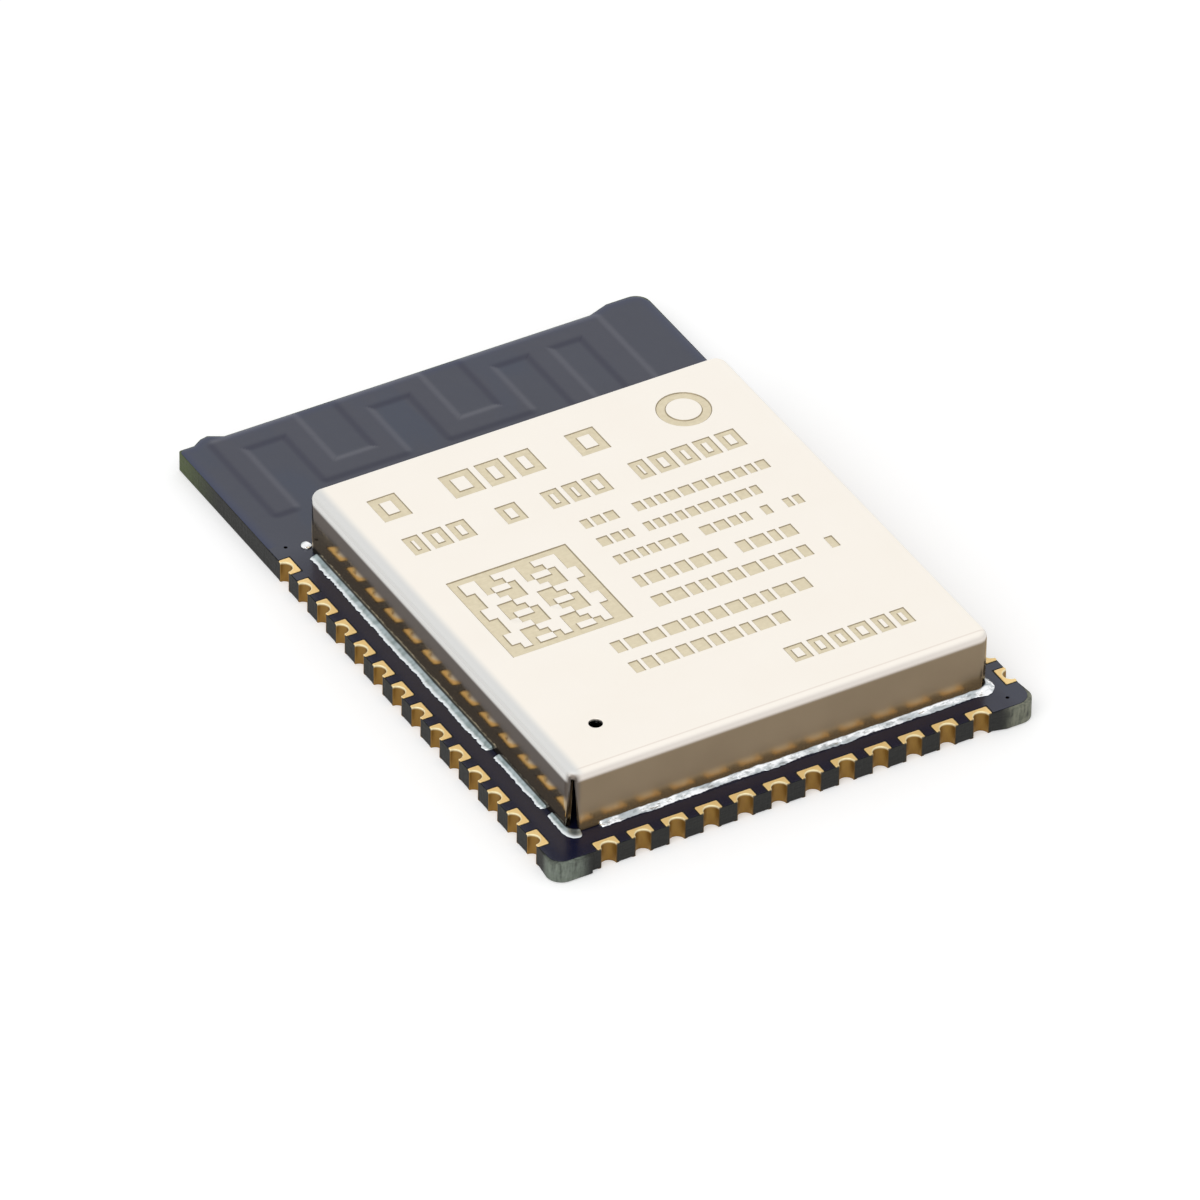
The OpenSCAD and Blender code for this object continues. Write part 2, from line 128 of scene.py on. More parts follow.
class NodeSheet:
    """The nodes of one material or of the room."""

    def __init__(self, owner):
        owner.use_nodes = True
        self.tree = owner.node_tree
        self.tree.nodes.clear()

    def node(self, kind, settings=None, inputs=None, output=0):
        """A node from its type, its settings, and the values or links of its sockets."""
        made = self.tree.nodes.new(kind)
        for name, value in (settings or {}).items():
            setattr(made, name, value)
        for name, value in (inputs or {}).items():
            if isinstance(value, Signal):
                self.tree.links.new(value.socket, made.inputs[name])
            else:
                made.inputs[name].default_value = value
        return Signal(self, made.outputs[output]) if made.outputs else None

    def seen_directly(self):
        """1 where a camera, glossy or transmission ray arrives, and 0 for all others."""
        camera_ray, glossy_ray, clear_ray = (
            self.node("ShaderNodeLightPath", output=name)
            for name in ("Is Camera Ray", "Is Glossy Ray", "Is Transmission Ray")
        )
        return camera_ray.or_larger(glossy_ray).or_larger(clear_ray)


class Finish(NodeSheet):
    """One procedural material."""

    def __init__(self, name):
        self.material = bpy.data.materials.new(name)
        super().__init__(self.material)

    def place(self, stretch=(1, 1, 1)):
        """Object coordinates in millimetres, with a pattern on them drawn out by "stretch"."""
        spot = self.node("ShaderNodeTexCoord", output="Object")
        scale = [1 / (MM * s) for s in stretch]
        return self.node("ShaderNodeMapping", inputs={"Vector": spot, "Scale": scale})

    def height(self):
        """The height over the floor in millimetres."""
        return self.axis("Z")

    def axis(self, letter):
        """A point's place along an axis in millimetres."""
        spot = self.node("ShaderNodeTexCoord", output="Object")
        return self.node("ShaderNodeSeparateXYZ", inputs={0: spot}, output=letter) / MM

    def distance(self, letter):
        """How far a point lies to either side of the middle along an axis."""
        return self.axis(letter).without_sign()

    def step(self, value, start, end):
        """0 before start, 1 after end and a smooth rise between them."""
        settings = {"interpolation_type": "SMOOTHSTEP"}
        return self.node("ShaderNodeMapRange", settings, {"Value": value, 1: start, 2: end})

    def grain(self, size, place=None, detail=3, roughness=0.55):
        """Noise whose patches are about "size" millimetres across."""
        inputs = {
            "Vector": place or self.place(),
            "Scale": 1 / size,
            "Detail": detail,
            "Roughness": roughness,
        }
        return self.node("ShaderNodeTexNoise", inputs=inputs, output="Fac")

    def attribute(self, name):
        """A value that the piece's mesh holds at each vertex."""
        return self.node("ShaderNodeAttribute", {"attribute_name": name}, output="Fac")

    def blend(self, factor, first, second):
        """One colour to the other, by factor."""
        first, second = ((*c, 1) if isinstance(c, tuple) else c for c in (first, second))
        return self.node("ShaderNodeMix", {"data_type": "RGBA"}, {0: factor, 6: first, 7: second}, 2)

    def relief(self, height, depth):
        """A bump of "depth" millimetres for each 1 that the height rises."""
        inputs = {"Height": height, "Distance": depth * MM}
        return self.node("ShaderNodeBump", inputs=inputs)

    def surface(self, **inputs):
        """The last node. A name's underscores stand for spaces, as in Base_Color."""
        named = {name.replace("_", " "): value for name, value in inputs.items()}
        if isinstance(named["Base Color"], tuple):
            named["Base Color"] = (*named["Base Color"], 1)
        shader = self.node("ShaderNodeBsdfPrincipled", inputs=named)
        self.node("ShaderNodeOutputMaterial", inputs={"Surface": shader})
        return self.material


# ---- finishes


# where one tone of the can, or a painted shade or reflection on it, gives way to the next, each from
# its start to its end
FLAT_TOP = (can_high.z - 0.12, can_high.z - 0.003)
BEND_GREY_SHADE = (can_high.z - 0.33, can_high.z - 0.16)
EDGE_GREY_SHADE = (can_low.x + 0.26, can_low.x + 0.6)
SLIT_SHADE = (can_high.z - 0.08, can_high.z - 0.008)
FOOT_SHADE = (board_top + 0.08, board_top + 0.22)
FRONT_GOLD_REFLECTION = (board_top + 0.8, board_top + 0.4)
LEFT_DARK_REFLECTION = (board_top + 1.0, board_top + 1.35)
CREASE_SHADE_FADE = (0.01, CREASE_HALF)

# how far the relief leans the walls back, and how much more it leans the foot of the front wall
WALL_LEAN = 4.5
FRONT_LEAN = 2.2
FRONT_LEAN_RISE = (board_top - 0.7, board_top + 0.9)


def nickel_silver():
    """Stamped sheet: bright and satin on the flat top, with painted grey shade round its bends, bronze
    on the walls.
    The walls mirror the board, and their lean decides which part of it they show. Painted reflections
    darken the left wall's upper part and the front wall and turn the lower front gold, and painted
    shade darkens the walls' foot, the trough behind the front bend and the corner over the front left
    slit."""
    f = Finish("nickel_silver")
    height = f.height()
    x, y = f.axis("X"), f.axis("Y")
    front = 1 - f.step(y, can_low.y, can_low.y + CAN_CORNER)
    left = 1 - f.step(x, can_low.x, can_low.x + CAN_CORNER)
    top = f.step(height, *FLAT_TOP)
    # where the painted grey shade round the bends falls, reaching further down on the left
    bend = f.step(height + left * 0.12, *BEND_GREY_SHADE)
    # where the painted shade at the walls' foot falls, higher on the left and lower on the front
    foot = 1 - f.step(height + (front - left) * 0.1, *FOOT_SHADE)
    clouds = f.grain(2.4, detail=2)
    drawn = f.grain(0.08, f.place((1, 1, 9)))
    fine = f.grain(0.035, detail=2)
    wall = f.blend(clouds, (0.52, 0.4, 0.24), (0.62, 0.49, 0.31))
    # painted dark reflection on the front wall, clouded, with a painted gold reflection of the lands
    # low down
    front_reflection = f.blend(clouds, (0.19, 0.142, 0.09), (0.265, 0.203, 0.132))
    front_reflection = f.blend(f.step(height, *FRONT_GOLD_REFLECTION), front_reflection, (0.44, 0.3, 0.15))
    wall = f.blend(front, wall, front_reflection)
    wall = f.blend(drawn * 0.3, wall, (0.2, 0.15, 0.1))
    # painted dark reflection on the left wall's upper part
    wall = f.blend(left * f.step(height, *LEFT_DARK_REFLECTION), wall, (0.078, 0.062, 0.052))
    # painted shade: the walls turn near black at their foot, most of all on the left
    wall = f.blend(foot * (0.6 + left * 0.3), wall, (0.03, 0.024, 0.02))
    # painted grey shade round the bends, a little warmer on the front
    wall = f.blend(bend, wall, f.blend(front, (0.68, 0.675, 0.655), (0.75, 0.695, 0.64)))
    # painted shade along the trough behind the front bend
    crease_shade = 1 - f.step((y - crease_line).without_sign(), *CREASE_SHADE_FADE)
    flat = f.blend(clouds, (0.93, 0.875, 0.795), (0.95, 0.905, 0.835))
    flat = f.blend(crease_shade * 0.55, flat, (0.76, 0.67, 0.6))
    # the painted grey shade runs on over the top's left edge
    flat = f.blend(1 - f.step(x, *EDGE_GREY_SHADE), flat, (0.715, 0.715, 0.7))
    colour = f.blend(top, wall, flat)
    # painted shade on the round corner over the front left slit, where the lamp's highlight would be
    slit_cap_shade = front * left * (1 - f.step(height, *SLIT_SHADE))
    colour = f.blend(slit_cap_shade * 2.3, colour, (0.13, 0.11, 0.095))
    roughness = 0.07 + front * 0.09 + top * 0.2 + bend * 0.12 + fine * 0.05 + clouds * 0.03
    low = f.step(height, *FRONT_LEAN_RISE)
    buckle = f.grain(1.7, detail=1) * 0.7 + drawn * 0.05 * (1 - top) + fine * 0.02
    buckle = buckle - height * WALL_LEAN - front * low * FRONT_LEAN
    return f.surface(Base_Color=colour, Metallic=1 - 0.14 * front * (1 - bend),
                     Roughness=roughness, Normal=f.relief(buckle, 0.02))


def etched_mark():
    """Where a laser roughened the can's top: matt, beige and faintly lined."""
    f = Finish("etched_mark")
    lines = f.grain(0.05, f.place((6, 1, 1)), detail=2)
    spots = f.grain(0.16)
    colour = f.blend(spots, (0.72, 0.63, 0.44), (0.92, 0.84, 0.65))
    colour = f.blend(lines * 0.45, colour, (0.6, 0.52, 0.36))
    return f.surface(Base_Color=colour, Metallic=0.55, Roughness=0.5 + spots * 0.2,
                     Normal=f.relief(lines + spots, 0.006))


def shaded_etch_rim():
    """The slope round an etched mark, painted darker as shade."""
    f = Finish("shaded_etch_rim")
    spots = f.grain(0.12)
    colour = f.blend(spots, (0.24, 0.195, 0.12), (0.42, 0.35, 0.23))
    return f.surface(Base_Color=colour, Metallic=0.6, Roughness=0.35 + spots * 0.15,
                     Normal=f.relief(spots, 0.004))


def tin_solder(name, bright, frosted, shadow, roughness, depth):
    """Tin solder with frosted patches and the fine wrinkles where it froze, with a painted shadow in
    the wrinkles and painted shade as a dark line where it meets the can. Where a seam's mesh says so,
    its outer edge has a painted highlight."""
    f = Finish(name)
    frost = f.step(f.grain(0.3, f.place((2.5, 1, 1)), detail=3), 0.42, 0.6)
    wrinkle = f.grain(0.16, f.place((2, 1, 1)), detail=4, roughness=0.6)
    colour = f.blend(frost, bright, frosted)
    colour = f.blend(f.step(wrinkle, 0.5, 0.7) * 0.55, colour, shadow)
    # painted highlight on the seam's outer edge, then painted shade along its root against the can
    colour = f.blend(f.attribute("lip_highlight"), colour, (0.84, 0.88, 0.9))
    colour = f.blend(f.attribute("root"), colour, (0.012, 0.013, 0.03))
    roughness = roughness + frost * 0.15 + wrinkle * 0.1
    return f.surface(Base_Color=colour, Metallic=1.0, Roughness=roughness,
                     Normal=f.relief(wrinkle, depth))


def plated_gold():
    """Immersion gold over nickel: satin on the lands with a painted highlight along the edge where they
    turn down into the half holes, brown with painted shade down in the half holes, and dark where the
    board's edge was sawn."""
    f = Finish("plated_gold")
    thin = f.grain(0.6, detail=2)
    pits = f.grain(0.03, detail=3)
    colour = f.blend(thin, (1.0, 0.76, 0.35), (1.0, 0.66, 0.25))
    # painted highlight along the edge where a land turns down into its hole
    colour = f.blend(f.attribute("lip_highlight"), colour, (1.0, 0.9, 0.58))
    # painted shade: the gold goes brown down in the half holes, clouded in patches
    deep = f.step(f.height(), board_top - 0.02, board_top - 0.1)
    stain = f.grain(0.3, f.place((1, 1, 2)))
    hole_shade = f.blend(stain, (0.33, 0.19, 0.035), (0.2, 0.1, 0.02))
    colour = f.blend(deep, colour, hole_shade)
    side, end = f.distance("X"), f.distance("Y")
    sawn_side = f.step(side, core_high.x - 0.02, core_high.x - 0.005)
    sawn_end = f.step(end, front_edge - 0.02, front_edge - 0.005)
    colour = f.blend(sawn_side.or_larger(sawn_end) * 0.8, colour, (0.06, 0.035, 0.012))
    return f.surface(Base_Color=colour, Metallic=0.22 + deep * 0.43,
                     Roughness=0.3 + pits * 0.12 + thin * 0.06, Normal=f.relief(pits, 0.003))


def bare_copper():
    """Bare copper, blotched by its patina, and darkened down in the small holes as painted shade."""
    f = Finish("bare_copper")
    patina = f.grain(0.9)
    pits = f.grain(0.05)
    deep = f.step(f.height(), board_top + 0.01, board_top - 0.04)
    colour = f.blend(patina, (0.8, 0.44, 0.26), (0.62, 0.33, 0.19))
    # painted shade down in the small holes
    colour = f.blend(deep, colour, (0.05, 0.03, 0.02))
    return f.surface(Base_Color=colour, Metallic=1.0, Roughness=0.35 + pits * 0.15,
                     Normal=f.relief(pits, 0.004))


def navy_mask():
    """Liquid solder mask: glossy ink over a faint weave. It is near black round the can. Past the can's
    rear and at the right front corner it is paler, partly its own tone and partly a painted reflection,
    and the antenna's shoulders carry painted light and shade."""
    f = Finish("navy_mask")
    y = f.axis("Y")
    weave = f.grain(0.34, f.place((1, 1.6, 1)), detail=2)
    peel = f.grain(0.09, detail=2)
    clouds = f.grain(3.2, detail=2)
    tint = f.grain(1.6, f.place((1, 2.5, 1)), detail=1)
    dark = f.blend(clouds, (0.003, 0.004, 0.02), (0.006, 0.008, 0.03))
    pale = f.blend(clouds, (0.026, 0.03, 0.052), (0.036, 0.042, 0.066))
    pale = f.blend(f.step(tint, 0.5, 0.7) * 0.5, pale, (0.02, 0.034, 0.07))
    pale = f.blend(f.attribute("over_copper") * 0.25, pale, (0.042, 0.04, 0.06))
    pale = f.blend(f.attribute("shaded_side") * 0.6, pale, (0.01, 0.01, 0.034))
    pale = f.blend(f.attribute("lit_side") * 0.42, pale, (0.085, 0.088, 0.12))
    # paler past the can's rear and at the right front corner: partly the mask's own tone, partly a
    # painted reflection
    open_end = f.step(y, 4.6, 6.3)
    right_side = f.step(f.axis("X"), can_high.x, can_high.x + 0.5)
    right_corner = right_side * (1 - f.step(y, -10.5, -8.5))
    colour = f.blend(open_end.or_larger(right_corner * 0.6), dark, pale)
    colour = f.blend(weave * 0.2, colour, (0.02, 0.023, 0.05))
    colour = f.blend(f.attribute("border") * 0.6, colour, (0.018, 0.03, 0.085))
    return f.surface(Base_Color=colour, Roughness=0.17 + peel * 0.08 + weave * 0.05, IOR=1.52,
                     Normal=f.relief(peel * 0.4 + weave, 0.006))


def glass_laminate():
    """Sawn glass-epoxy: dark resin on the routed sides, pale streaked fibre at the broken tabs, and a
    green glow where light gets in at the far end."""
    f = Finish("glass_laminate")
    y = f.axis("Y")
    layers = f.grain(0.07, f.place((5, 5, 1)), detail=3)
    tufts = f.grain(0.13, f.place((1, 1, 5)), detail=3)
    patches = f.grain(0.4, detail=2)
    dark = f.blend(layers, (0.01, 0.0105, 0.011), (0.04, 0.04, 0.036))
    right = f.step(f.axis("X"), -1, 1)
    tips = f.blend(right, (0.31, 0.345, 0.3), (0.36, 0.35, 0.27))
    fibre = f.blend(tufts, (0.06, 0.075, 0.066), tips)
    fibre = f.blend(layers * 0.4, fibre, (0.1, 0.13, 0.07))
    corner = f.step(f.distance("X"), core_high.x - 1.4, core_high.x - 0.75)
    corner = corner * (1 - f.step(y, -12.5, -11.9))
    torn = f.step(patches * 0.6 + tufts * 0.4, 0.3, 0.55)
    colour = f.blend(corner * (0.25 + torn * 0.75), dark, fibre)
    colour = f.blend(f.step(y, 9.5, 12.8) * (0.4 + 0.6 * layers), colour, (0.1, 0.13, 0.05))
    return f.surface(Base_Color=colour, Roughness=0.5 + layers * 0.3, Specular_IOR_Level=0.2,
                     Normal=f.relief(layers + tufts, 0.03))


def speckled(name, light, dark, size, roughness, metallic=0.0):
    """A fine-grained finish for the small parts under the can, clouded at eight times its grain."""
    f = Finish(name)
    grain = f.grain(size)
    clouds = f.grain(size * 8, detail=1)
    colour = f.blend(grain * 0.6 + clouds * 0.4, dark, light)
    return f.surface(Base_Color=colour, Metallic=metallic, Roughness=roughness + grain * 0.12,
                     Normal=f.relief(grain, 0.004))


sheet_finish = nickel_silver()
mark_finish = etched_mark()
rim_finish = shaded_etch_rim()
solder_finish = tin_solder(
    "bright_solder", bright=(0.95, 0.96, 0.97), frosted=(0.5, 0.54, 0.56), shadow=(0.1, 0.11, 0.11),
    roughness=0.1, depth=0.03,
)
satin_finish = tin_solder(
    "satin_solder", bright=(0.42, 0.49, 0.51), frosted=(0.3, 0.37, 0.38), shadow=(0.24, 0.28, 0.28),
    roughness=0.26, depth=0.008,
)
gold_finish = plated_gold()
copper_finish = bare_copper()
mask_finish = navy_mask()
laminate_finish = glass_laminate()
slot_finishes = {
    "laminate": laminate_finish,
    "solder_mask": mask_finish,
    "gold": gold_finish,
    "copper": copper_finish,
    "sheet_metal": sheet_finish,
    "solder": solder_finish,
    "moulding": speckled("moulded_epoxy", (0.035, 0.035, 0.038), (0.015, 0.015, 0.017), 0.05, 0.5),
    "tinned_lead": speckled("tinned_lead", (0.78, 0.79, 0.79), (0.6, 0.61, 0.62), 0.06, 0.25, 1.0),
    "crystal_ceramic": speckled("crystal_ceramic", (0.62, 0.57, 0.46), (0.5, 0.45, 0.36), 0.04, 0.6),
    "crystal_metal": speckled("crystal_metal", (0.8, 0.79, 0.76), (0.7, 0.69, 0.67), 0.05, 0.22, 1.0),
    "capacitor_ceramic": speckled("capacitor_ceramic", (0.5, 0.36, 0.22), (0.4, 0.28, 0.17), 0.04, 0.5),
    "resistor_coat": speckled("resistor_coat", (0.03, 0.03, 0.034), (0.012, 0.012, 0.014), 0.05, 0.35),
    "coil_ceramic": speckled("coil_ceramic", (0.75, 0.78, 0.8), (0.62, 0.65, 0.68), 0.04, 0.4),
}

for subpart in frame["record"]["subparts"]:
    part = frame["nodes"][subpart["node"]]
    part.data.materials.clear()
    part.data.materials.append(slot_finishes[subpart["material_slot"]])

# the mask's ink runs over the copper round the can's foot
frame["nodes"]["shield_land"].data.materials[0] = mask_finish

# ---- making pieces


def finished(bm, name, finishes, nodes=(), sharp_angle=30):
    """Turns a shape in millimetres into a piece that rides on the module and stands for nodes."""
    bmesh.ops.scale(bm, vec=(MM, MM, MM), verts=bm.verts)
    mesh = bpy.data.meshes.new(name)
    bm.to_mesh(mesh)
    bm.free()
    for finish in finishes:
        mesh.materials.append(finish)
    mesh.shade_smooth()
    mesh.set_sharp_from_angle(angle=math.radians(sharp_angle))
    piece = bpy.data.objects.new(name, mesh)
    bpy.context.scene.collection.objects.link(piece)
    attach(piece, "root")
    if nodes:
        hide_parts(*nodes)
    return piece


def softened_edges(piece, width, angle=40, segments=2):
    """Rounds a piece's sharp edges by a width in millimetres."""
    bevel = piece.modifiers.new("soft_edges", "BEVEL")
    bevel.width = width * MM
    bevel.segments = segments
    bevel.limit_method = "ANGLE"
    bevel.angle_limit = math.radians(angle)
    bevel.profile = 0.5
    return bevel


def flat_shading(piece):
    """Keeps large flats flat where they run into small bends."""
    weighted = piece.modifiers.new("flat_faces", "WEIGHTED_NORMAL")
    weighted.mode = "FACE_AREA"
    weighted.keep_sharp = True


def merged_copy(node):
    """A CAD node's loose triangles as one shape in millimetres, with its flat faces whole."""
    bm = bmesh.new()
    bm.from_mesh(frame["nodes"][node].data)
    bmesh.ops.scale(bm, vec=(1 / MM, 1 / MM, 1 / MM), verts=bm.verts)
    bmesh.ops.remove_doubles(bm, verts=bm.verts, dist=MERGE)
    bmesh.ops.dissolve_limit(bm, angle_limit=math.radians(1), verts=bm.verts, edges=bm.edges)
    return bm


def smooth_step(value):
    """0 up to 0, 1 from 1 on and a smooth rise between them."""
    value = min(1.0, max(0.0, value))
    return value * value * (3 - 2 * value)


# ---- shield can

SHEET = 0.2
CORNER_STEPS = 10
BEND_STEPS = 8

# each upright corner's slit: half its width, how far under the top's sheet it ends, and how high
# and how far its foot flares, with the share of the flare that curls out close to the board
HALF_SLIT = 0.065
SLIT_END = 0.02
FLARE_RISE = 1.9
FLARE_REACH = 0.2
FLARE_STEPS = 8
CURL_SHARE = 0.15

VENT = Vector((can_low.x + 2.12, can_low.y + 2.12))
VENT_RADIUS = 0.24

# a round opening's sides, and the half side of the square round it in radii
RING_SIDES = 32
OPENING_ROOM = 1.6

# the sunk marks on the top, measured from the can's front left corner
MARK_DEPTH = 0.028
MARK_RIM = 0.035
FRAME_SHARE = 0.24
SKIPPED_SHARE = 0.12

# rows of plain blocks: the row's place from the front, block height, first and last x, the shortest
# and longest block, the gap, and whether the blocks are drawn as frames
block_rows = [
    (14.75, 1.3, 1.4, 10.6, 0.9, 1.35, 0.22, True),
    (12.7, 1.0, 1.4, 14.3, 0.55, 0.8, 0.18, True),
    (11.25, 0.5, 7.0, 14.2, 0.25, 0.45, 0.12, False),
    (10.15, 0.5, 7.0, 13.1, 0.25, 0.45, 0.12, False),
    (9.05, 0.5, 7.0, 14.2, 0.25, 0.45, 0.12, False),
    (7.65, 0.62, 7.0, 13.7, 0.3, 0.6, 0.14, False),
    (6.45, 0.62, 7.0, 14.2, 0.3, 0.6, 0.14, False),
    (4.95, 0.62, 4.6, 12.2, 0.3, 0.6, 0.14, False),
    (3.75, 0.62, 4.6, 10.9, 0.3, 0.6, 0.14, False),
    (1.75, 0.85, 9.4, 14.0, 0.5, 0.7, 0.18, True),
]

# a square of cells: its left and front edge, its side, and its cells a side
CELLS_LEFT = 1.5 + can_low.x
CELLS_FRONT = 6.4 + can_low.y
CELLS_SIDE = 4.5
CELL_COUNT = 15

# the ring's middle from the same corner, and its outer and inner radius
ring_middle = Vector((13.1, 15.4))
ring_radii = [0.95, 0.6]


def faces_up(face):
    """Whether a face of the can lies in its flat top."""
    return face.normal.z > 0.999


def flat_faces_in(bm, x0, x1, y0, y1):
    """The faces of the can's flat top that reach into a rectangle."""
    found = []
    for face in filter(faces_up, bm.faces):
        xs = [v.co.x for v in face.verts]
        ys = [v.co.y for v in face.verts]
        beside = max(xs) <= x0 + HAIR or min(xs) >= x1 - HAIR
        beyond = max(ys) <= y0 + HAIR or min(ys) >= y1 - HAIR
        if not beside and not beyond:
            found.append(face)
    return found


def cut(bm, faces, point, normal):
    """Scores a plane's line into some of the faces."""
    edges = {e for f in faces for e in f.edges}
    verts = {v for f in faces for v in f.verts}
    bmesh.ops.bisect_plane(bm, geom=[*faces, *edges, *verts], plane_co=point, plane_no=normal,
                           dist=1e-5)


def cut_rectangle(bm, x0, x1, y0, y1):
    """Scores a rectangle into the flat top and gives back its faces."""
    for point, normal in (
        ((0, y0, 0), (0, 1, 0)),
        ((0, y1, 0), (0, 1, 0)),
        ((x0, 0, 0), (1, 0, 0)),
        ((x1, 0, 0), (1, 0, 0)),
    ):
        cut(bm, flat_faces_in(bm, x0, x1, y0, y1), point, normal)
    return flat_faces_in(bm, x0, x1, y0, y1)


def round_opening(bm, middle, radii):
    """Opens a square of the flat top and fills it with rings round "middle", outermost first. Gives
    back each ring's faces and the innermost circle's edges."""
    reach = radii[0] * OPENING_ROOM
    square = cut_rectangle(bm, middle.x - reach, middle.x + reach, middle.y - reach, middle.y + reach)
    outline = list(dict.fromkeys(e for f in square for e in f.edges))
    bmesh.ops.delete(bm, geom=square, context="FACES_ONLY")
    bmesh.ops.delete(bm, geom=[e for e in outline if e.is_wire], context="EDGES")
    outline = [e for e in outline if e.is_valid and e.is_boundary]
    bmesh.ops.subdivide_edges(bm, edges=outline, cuts=RING_SIDES // 4 - 1)
    near = [e for e in bm.edges
            if e.is_boundary and all(on_square(v.co, middle, reach) for v in e.verts)]
    spot = Matrix.Translation((*middle, can_high.z)) @ Matrix.Rotation(math.radians(45), 4, "Z")
    rings = []
    for radius in radii:
        made = bmesh.ops.create_circle(bm, segments=RING_SIDES, radius=radius, matrix=spot)
        ring = {e for v in made["verts"] for e in v.link_edges}
        rings.append(bmesh.ops.bridge_loops(bm, edges=[*near, *ring])["faces"])
        near = list(ring)
    return rings, near


def on_square(co, middle, reach):
    """Whether a point lies on the outline of a square of the can's top."""
    aside, ahead = abs(co.x - middle.x), abs(co.y - middle.y)
    on_side = min(abs(aside - reach), abs(ahead - reach)) < NEAR
    return on_side and max(aside, ahead) < reach + NEAR and abs(co.z - can_high.z) < NEAR


def score_blocks(bm):
    """The faces of the rows of blocks on the can's top. Some blocks are skipped, as spaces."""
    dice = random.Random(7)
    marks = []
    for y, height, x0, x1, shortest, longest, gap, framed in block_rows:
        y += can_low.y
        x = x0 + can_low.x
        end = x1 + can_low.x
        cut_rectangle(bm, x, end, y, y + height)
        while x + shortest < end:
            length = min(dice.uniform(shortest, longest), end - x)
            block = cut_rectangle(bm, x, x + length, y, y + height)
            x += length + gap
            if dice.random() < SKIPPED_SHARE:
                continue
            if framed:
                width = FRAME_SHARE * height
                block = bmesh.ops.inset_region(bm, faces=block, thickness=width,
                                               use_even_offset=True)["faces"]
            marks += block
    return marks


def score_cells(bm):
    """The faces of the sunk cells in the square on the can's top: its border and a plain pattern."""
    cell = CELLS_SIDE / CELL_COUNT
    square = (CELLS_LEFT, CELLS_LEFT + CELLS_SIDE, CELLS_FRONT, CELLS_FRONT + CELLS_SIDE)
    cut_rectangle(bm, *square)
    for i in range(1, CELL_COUNT):
        cut(bm, flat_faces_in(bm, *square), (CELLS_LEFT + i * cell, 0, 0), (1, 0, 0))
        cut(bm, flat_faces_in(bm, *square), (0, CELLS_FRONT + i * cell, 0), (0, 1, 0))
    marks = []
    for face in flat_faces_in(bm, *square):
        spot = face.calc_center_median()
        column = int((spot.x - CELLS_LEFT) / cell)
        row = int((spot.y - CELLS_FRONT) / cell)
        last = CELL_COUNT - 1
        border = min(column, row, last - column, last - row) == 0
        if border or (column * column + 3 * row + column * row) % 5 < 3:
            marks.append(face)
    return marks


def corner_places():
    """Each upright corner's middle, and the direction that points straight out of it."""
    for x, side_x in ((can_low.x + CAN_CORNER, -1), (can_high.x - CAN_CORNER, 1)):
        for y, side_y in ((can_low.y + CAN_CORNER, -1), (can_high.y - CAN_CORNER, 1)):
            yield Vector((x, y, 0)), Vector((side_x, side_y, 0)).normalized()


def open_slits(bm):
    """Cuts the open slit in each corner and flares its foot."""
    slit_top = can_high.z - SHEET - SLIT_END
    levels = [board_top + FLARE_RISE * (i / FLARE_STEPS) ** 2 for i in range(1, FLARE_STEPS + 1)]
    for middle, out in corner_places():
        across = Vector((-out.y, out.x, 0))
        for z in (*levels, slit_top):
            cut(bm, corner_faces(bm, middle, out), (0, 0, z), (0, 0, 1))
        for side in (-1, 1):
            edge = middle + across * HALF_SLIT * side
            cut(bm, corner_faces(bm, middle, out), edge, across)
        gone = []
        for face in corner_faces(bm, middle, out):
            spot = face.calc_center_median()
            if abs((spot - middle).dot(across)) < HALF_SLIT and spot.z < slit_top:
                gone.append(face)
        bmesh.ops.delete(bm, geom=gone, context="FACES")
        flare_foot(bm, middle, out)


def in_corner(spot, middle, out):
    """Whether a point lies in the quarter round an upright corner."""
    return (spot.x - middle.x) * out.x > -HAIR and (spot.y - middle.y) * out.y > -HAIR


def corner_faces(bm, middle, out):
    """The faces of one upright corner and of the bend over it."""
    return [f for f in bm.faces
            if not faces_up(f) and all(in_corner(v.co, middle, out) for v in f.verts)]


def flare_foot(bm, middle, out):
    """Moves the slit's edges apart towards the board, and shares the move over the corner."""
    half_turn = math.radians(45)
    first = math.asin(HALF_SLIT / CAN_CORNER)
    for vert in bm.verts:
        offset = (vert.co - middle).xy
        rise = vert.co.z - board_top
        on_corner = abs(offset.length - CAN_CORNER) < 0.02 and in_corner(vert.co, middle, out)
        if not on_corner or rise > FLARE_RISE - HAIR:
            continue
        turn = out.xy.angle_signed(offset)
        if abs(turn) > half_turn - NEAR:
            continue
        depth = min(1, 1 - rise / FLARE_RISE)
        curl = 1 - math.sqrt(1 - depth**2)
        widened = FLARE_REACH * ((1 - CURL_SHARE) * depth + CURL_SHARE * curl)
        border = first + widened / CAN_CORNER
        share = (abs(turn) - first) / (half_turn - first)
        new_turn = math.copysign(border + share * (half_turn - border), turn)
        heading = math.atan2(out.y, out.x) - new_turn
        vert.co.x = middle.x + CAN_CORNER * math.cos(heading)
        vert.co.y = middle.y + CAN_CORNER * math.sin(heading)


def crease_front(bm):
    """The faint trough that the press left along the front of the top."""
    for y in (crease_line - CREASE_HALF, crease_line, crease_line + CREASE_HALF):
        cut(bm, [f for f in bm.faces if faces_up(f) and min(v.co.y for v in f.verts) < y],
            (0, y, 0), (0, 1, 0))
    for vert in bm.verts:
        from_side = min(vert.co.x - can_low.x, can_high.x - vert.co.x)
        on_line = abs(vert.co.y - crease_line) < NEAR and vert.co.z > can_high.z - NEAR
        if on_line and from_side > 0.5:
            vert.co.z -= 0.006


